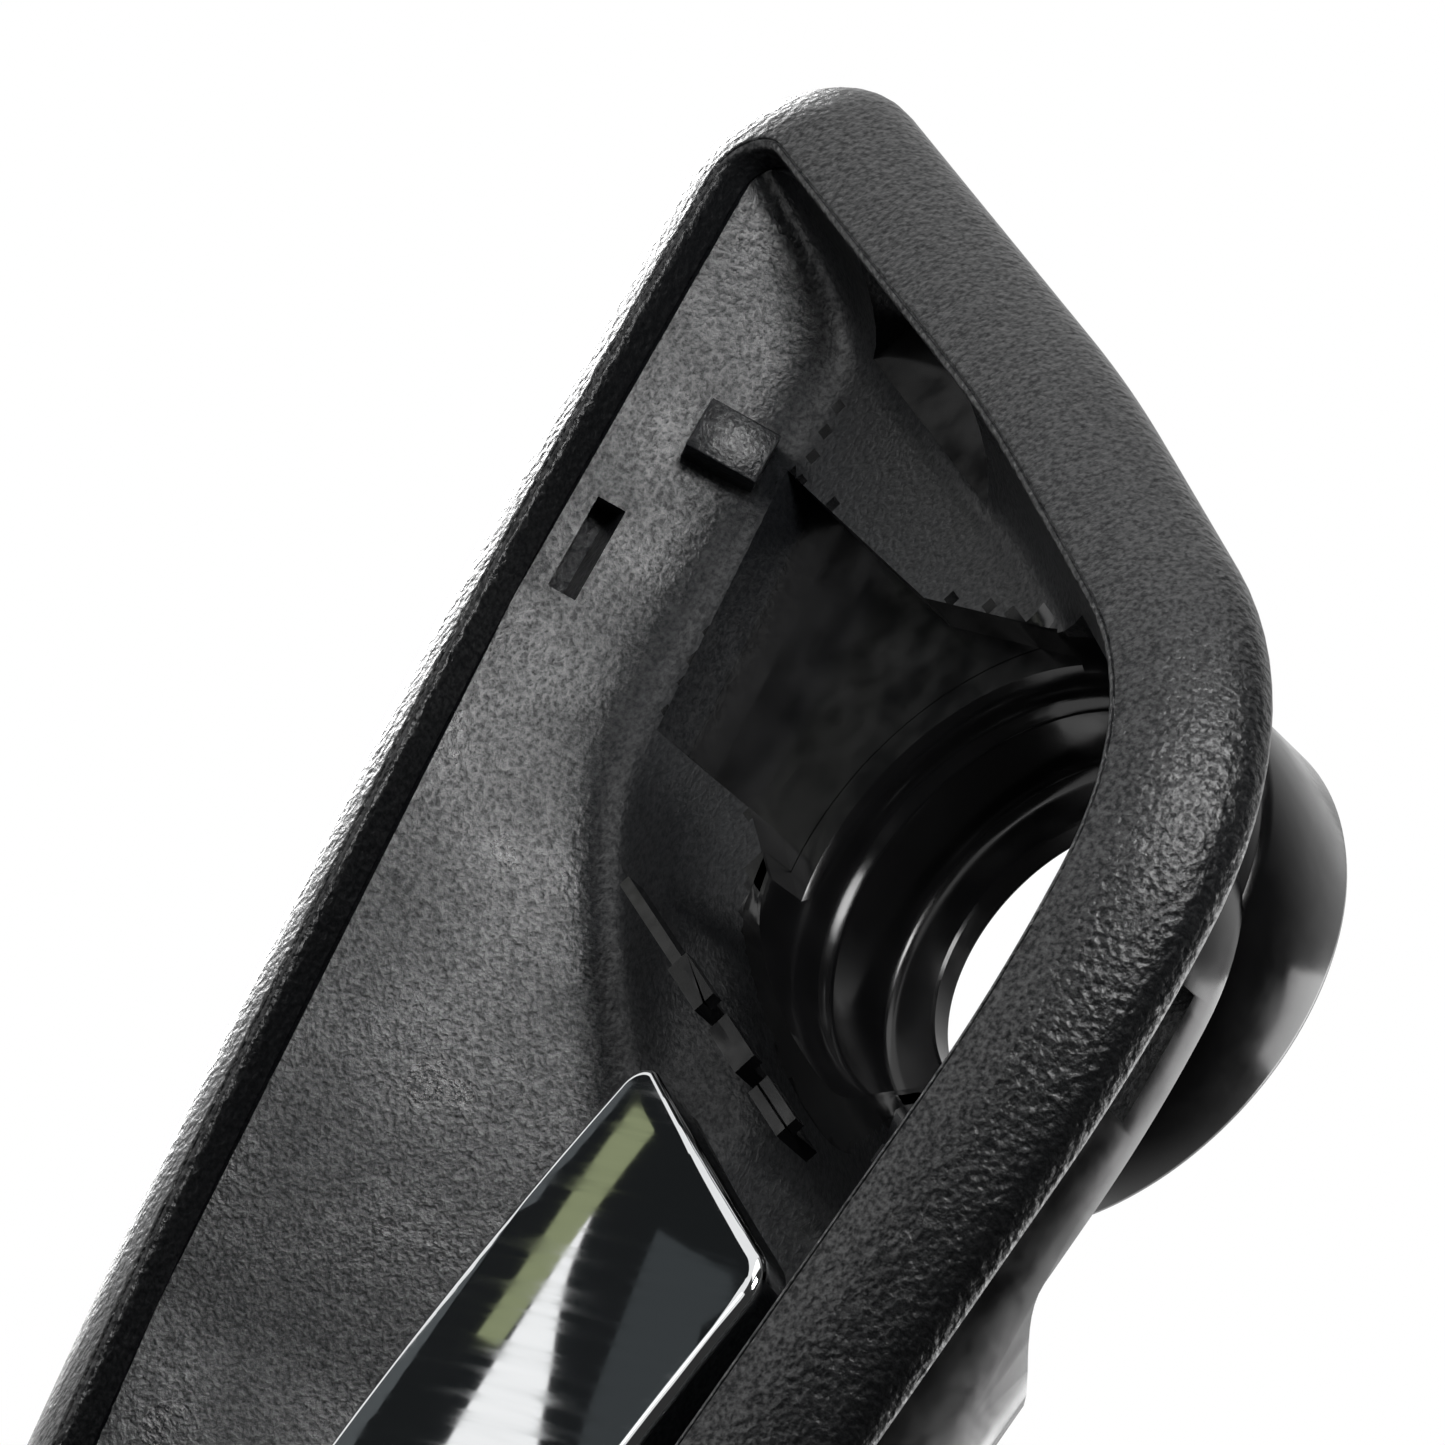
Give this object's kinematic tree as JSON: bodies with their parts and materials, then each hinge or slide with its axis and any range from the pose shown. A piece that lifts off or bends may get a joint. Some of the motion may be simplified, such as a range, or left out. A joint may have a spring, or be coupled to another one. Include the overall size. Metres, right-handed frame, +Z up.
{
  "type": "interior car door handle",
  "caption": "Interior door handle module: grained bezel with a finger scoop and a round speaker duct, and a sprung chrome pull lever on a hinge pin.",
  "frame": {"origin": "main fixing screw's hole, at the back face of the scoop floor", "axes": "+X from the speaker duct to the hinge end, +Y into the door, +Z up"},
  "size_m": [0.1986, 0.044, 0.0875],
  "materials": {
    "grained_abs": "black ABS, leather grain",
    "fine_grain_abs": "black ABS, fine spark grain",
    "smooth_abs": "black ABS, smooth moulded",
    "black_nylon": "glass-filled nylon, moulded",
    "chrome_plate": "bright chrome plate",
    "plated_steel": "zinc plated",
    "spring_steel": "blued spring steel",
    "rubber": "moulded rubber"
  },
  "bodies": {
    "housing": {"bezel_flange": "grained_abs", "scoop_pan": "fine_grain_abs", "speaker_pan": "fine_grain_abs", "speaker_duct": "smooth_abs", "stiffening_ribs": "smooth_abs", "clip_towers": "smooth_abs", "spring_clips": "spring_steel", "locating_pegs": "smooth_abs", "screw_sleeves": "plated_steel", "hinge_ears": "smooth_abs", "hinge_pin": "plated_steel", "pin_clip": "spring_steel", "return_spring": "spring_steel", "cable_bracket": "smooth_abs", "rest_bumper": "rubber", "open_bumper": "rubber", "grille_snap_block": "smooth_abs", "grille_snap_fingers": "smooth_abs", "grille_snap_top": "smooth_abs"},
    "lever": {"lever_core": "black_nylon", "lever_cap": "chrome_plate", "cap_screws": "plated_steel", "cable_crank": "plated_steel"}
  },
  "joints": [
    {"name": "lever_hinge", "type": "hinge", "parent": "housing", "child": "lever", "pos_m": [0.046, -0.013, 0.005], "axis": [0, 0, 1], "range_deg": [0, 28], "stiffness_Nm_per_rad": 0.3, "springref_deg": -17.19, "deforming": ["return_spring"]}
  ]
}
